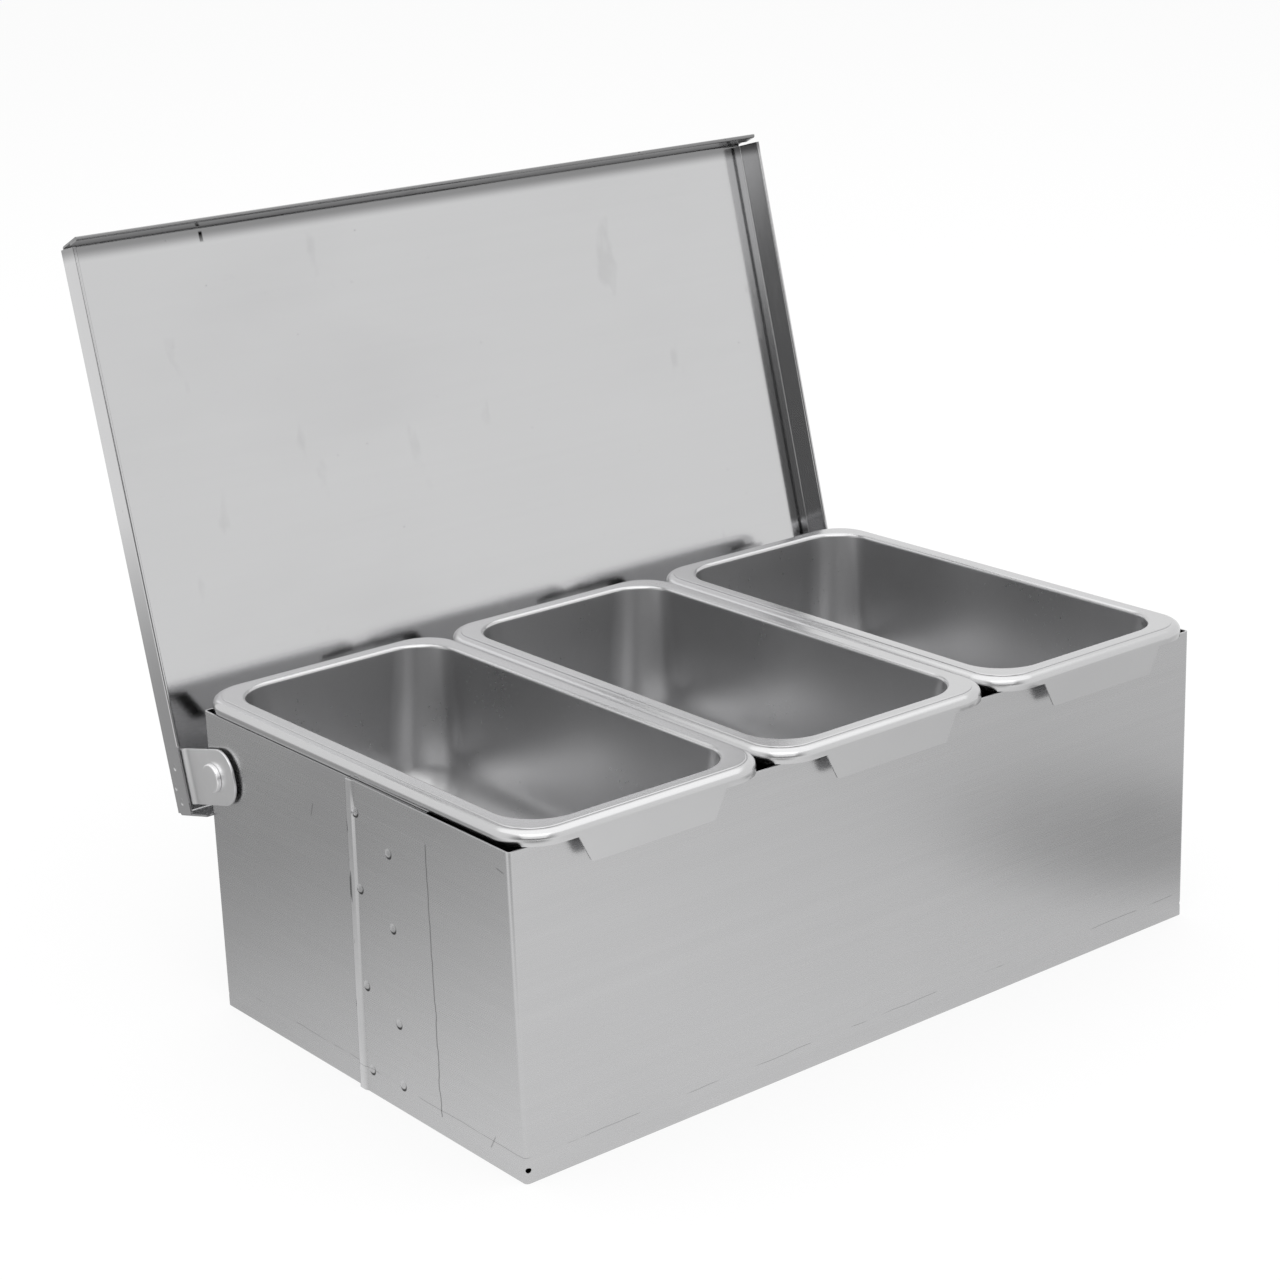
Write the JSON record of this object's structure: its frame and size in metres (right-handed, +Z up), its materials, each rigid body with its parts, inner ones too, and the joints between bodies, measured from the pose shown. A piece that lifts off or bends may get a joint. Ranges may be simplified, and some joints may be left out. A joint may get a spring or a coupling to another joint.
{
  "type": "bar garnish tray",
  "caption": "Folded sheet-metal garnish box with lift-out deep pans side by side and a hinged flanged lid that leans open.",
  "frame": {"origin": "middle of the flat underside of the box", "axes": "+X along the row of pans towards the right-hand pan, +Y towards the lid's hinge at the back, +Z up"},
  "size_m": [0.3364, 0.2697, 0.2894],
  "materials": {
    "wall_sheet": "fine brushed stainless sheet",
    "base_sheet": "plain mill stainless sheet",
    "lid_sheet": "bright, half-mirror stainless sheet",
    "bracket_sheet": "satin stainless plate",
    "rivet_steel": "turned stainless",
    "pan_steel": "satin drawn stainless with a polished rim"
  },
  "bodies": {
    "box": {"body_wrap": "wall_sheet", "base_plate": "base_sheet", "hinge_rivet_left": "rivet_steel", "hinge_rivet_right": "rivet_steel"},
    "lid": {"lid_tray": "lid_sheet", "hinge_bracket_left": "bracket_sheet", "hinge_bracket_right": "bracket_sheet"},
    "left_pan": {"pan_left": "pan_steel"},
    "middle_pan": {"pan_middle": "pan_steel"},
    "right_pan": {"pan_right": "pan_steel"}
  },
  "joints": [
    {"name": "lid_hinge", "type": "hinge", "parent": "box", "child": "lid", "pos_m": [0, 0.0886, 0.0954], "axis": [-1, 0, 0], "range_deg": [-104.4, 0]},
    {"name": "left_pan_lift", "type": "slide", "parent": "box", "child": "left_pan", "axis": [0, 0, 1], "range_m": [0, 0.14]},
    {"name": "middle_pan_lift", "type": "slide", "parent": "box", "child": "middle_pan", "axis": [0, 0, 1], "range_m": [0, 0.14]},
    {"name": "right_pan_lift", "type": "slide", "parent": "box", "child": "right_pan", "axis": [0, 0, 1], "range_m": [0, 0.14]}
  ]
}
